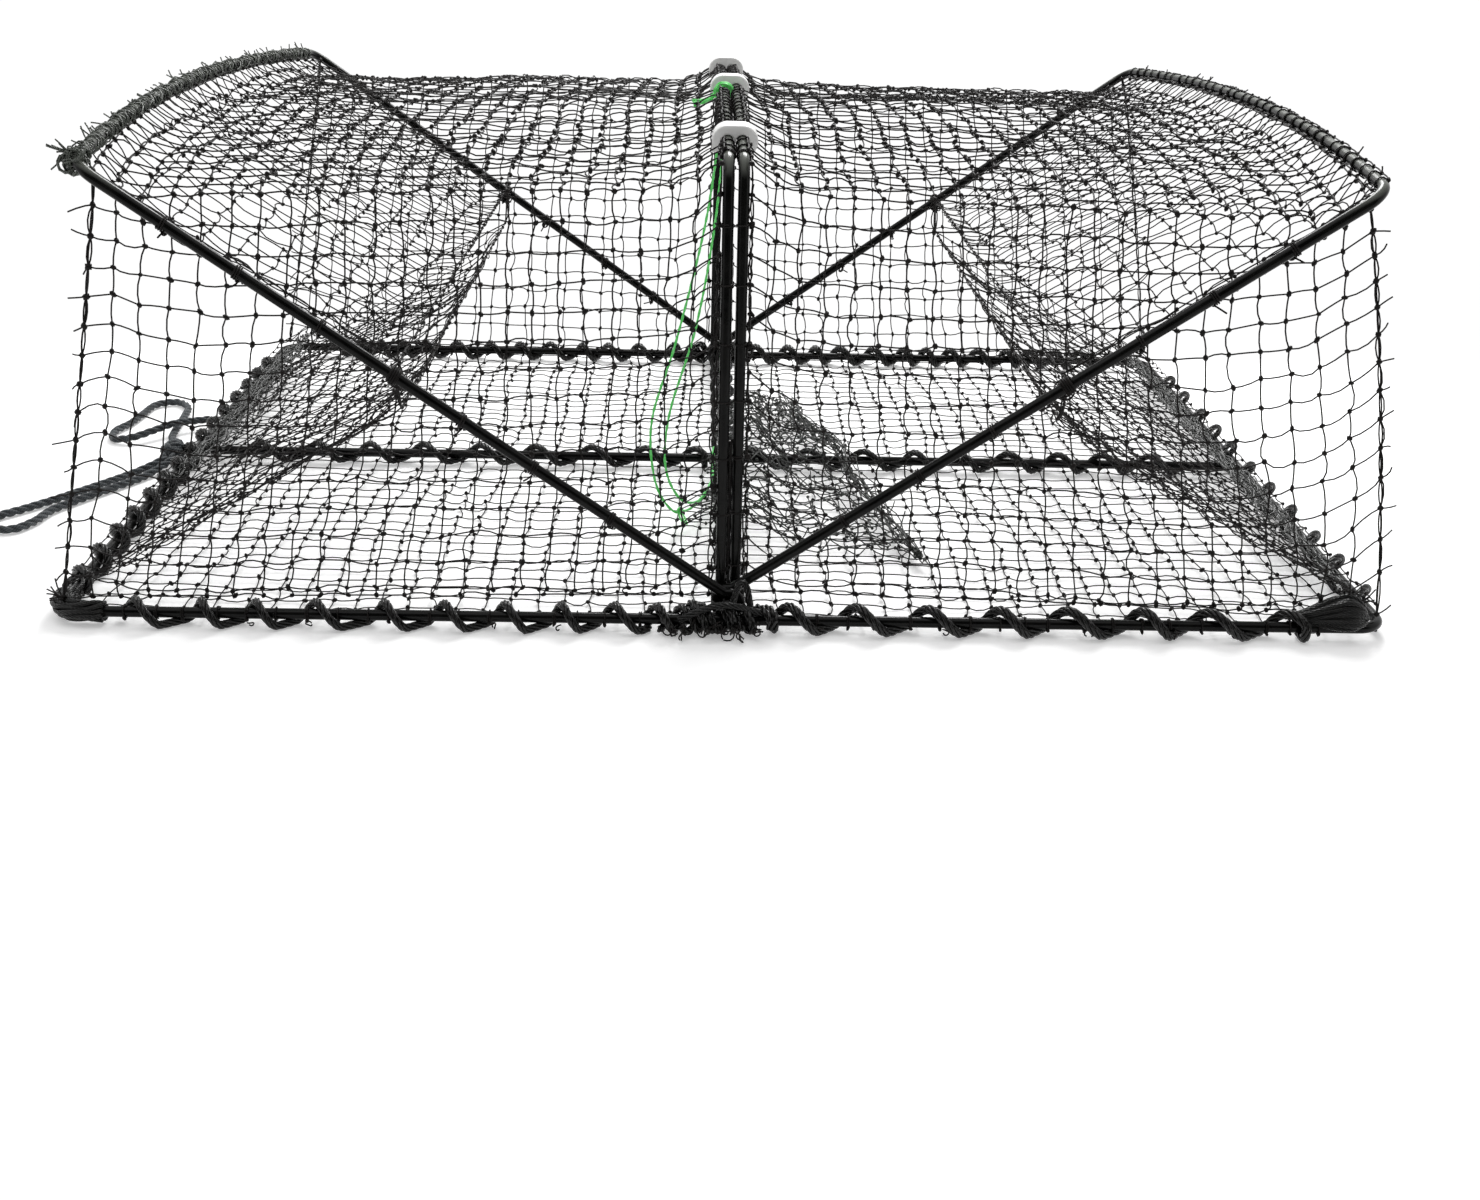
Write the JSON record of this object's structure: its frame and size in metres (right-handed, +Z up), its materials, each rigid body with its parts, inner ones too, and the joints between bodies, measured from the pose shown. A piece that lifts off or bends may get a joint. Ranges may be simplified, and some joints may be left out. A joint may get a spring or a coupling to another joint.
{
  "type": "folding crayfish trap",
  "caption": "Flat rod base carrying hinged bows that stand up to stretch a netted box with funnel entrances, and fold down flat when their clips are opened.",
  "frame": {"origin": "centre of the underside of the floor net, on the surface the trap stands on", "axes": "+X along the trap to the right-hand entrance, +Y from front to rear, +Z up"},
  "size_m": [0.6831, 0.4606, 0.2176],
  "materials": {
    "coated_steel": "satin black coating",
    "black_twine": "matt twisted nylon",
    "black_netting": "matt knotted nylon netting",
    "white_plastic": "smooth white moulding",
    "green_twine": "bright green split-film twine",
    "grey_rope": "braided dark grey cord"
  },
  "bodies": {
    "base": {"base_ring": "coated_steel", "base_long_rod": "coated_steel", "base_cross_rod": "coated_steel", "front_lashing": "black_twine", "rear_lashing": "black_twine", "left_end_lashing": "black_twine", "right_end_lashing": "black_twine", "long_rod_lashing": "black_twine", "cross_rod_lashing": "black_twine", "floor_net": "black_netting", "left_body_net": "black_netting", "right_body_net": "black_netting", "left_funnel_upper": "black_netting", "left_funnel_lower": "black_netting", "right_funnel_upper": "black_netting", "right_funnel_lower": "black_netting", "bait_bag": "black_netting", "green_strand_long": "green_twine", "green_strand_short": "green_twine", "rope_knot": "grey_rope", "rope_eye": "grey_rope", "rope_tail": "grey_rope"},
    "left_outer": {"left_outer_bow": "coated_steel"},
    "left_inner": {"left_inner_bow": "coated_steel", "green_knot": "green_twine"},
    "right_outer": {"right_outer_bow": "coated_steel"},
    "right_inner": {"right_inner_bow": "coated_steel"},
    "front_clip": {"clip_front": "white_plastic"},
    "middle_clip": {"clip_middle": "white_plastic"},
    "rear_clip": {"clip_rear": "white_plastic"}
  },
  "joints": [
    {"name": "left_outer_fold", "type": "hinge", "parent": "base", "child": "left_outer", "pos_m": [0, 0, 0.01162], "axis": [0, -1, 0], "range_deg": [0, 33], "deforming": ["left_body_net", "left_funnel_upper", "left_funnel_lower", "green_strand_long", "green_strand_short", "clip_front", "clip_middle", "clip_rear"]},
    {"name": "left_inner_fold", "type": "hinge", "parent": "left_outer", "child": "left_inner", "pos_m": [0, 0, 0.01162], "axis": [0, -1, 0], "range_deg": [0, 52]},
    {"name": "right_outer_fold", "type": "hinge", "parent": "base", "child": "right_outer", "pos_m": [0, 0, 0.01162], "axis": [0, 1, 0], "range_deg": [0, 33], "deforming": ["right_body_net", "right_funnel_upper", "right_funnel_lower"]},
    {"name": "right_inner_fold", "type": "hinge", "parent": "right_outer", "child": "right_inner", "pos_m": [0, 0, 0.01162], "axis": [0, 1, 0], "range_deg": [0, 52]},
    {"name": "clip_front_swing", "type": "hinge", "parent": "right_inner", "child": "front_clip", "pos_m": [0.0033, -0.14592, 0.206], "axis": [0, 0.998, 0.0632], "range_deg": [0, 90]},
    {"name": "clip_middle_swing", "type": "hinge", "parent": "right_inner", "child": "middle_clip", "pos_m": [0.0033, 0.00768, 0.21061], "axis": [0, 1, -0.0033], "range_deg": [0, 90]},
    {"name": "clip_rear_swing", "type": "hinge", "parent": "right_inner", "child": "rear_clip", "pos_m": [0.0033, 0.14208, 0.20624], "axis": [0, 0.9981, -0.0615], "range_deg": [0, 90]}
  ],
  "couplings": [
    {"joint": "left_inner_fold", "follows": "left_outer_fold", "ratio": 1.575},
    {"joint": "right_inner_fold", "follows": "right_outer_fold", "ratio": 1.575}
  ]
}
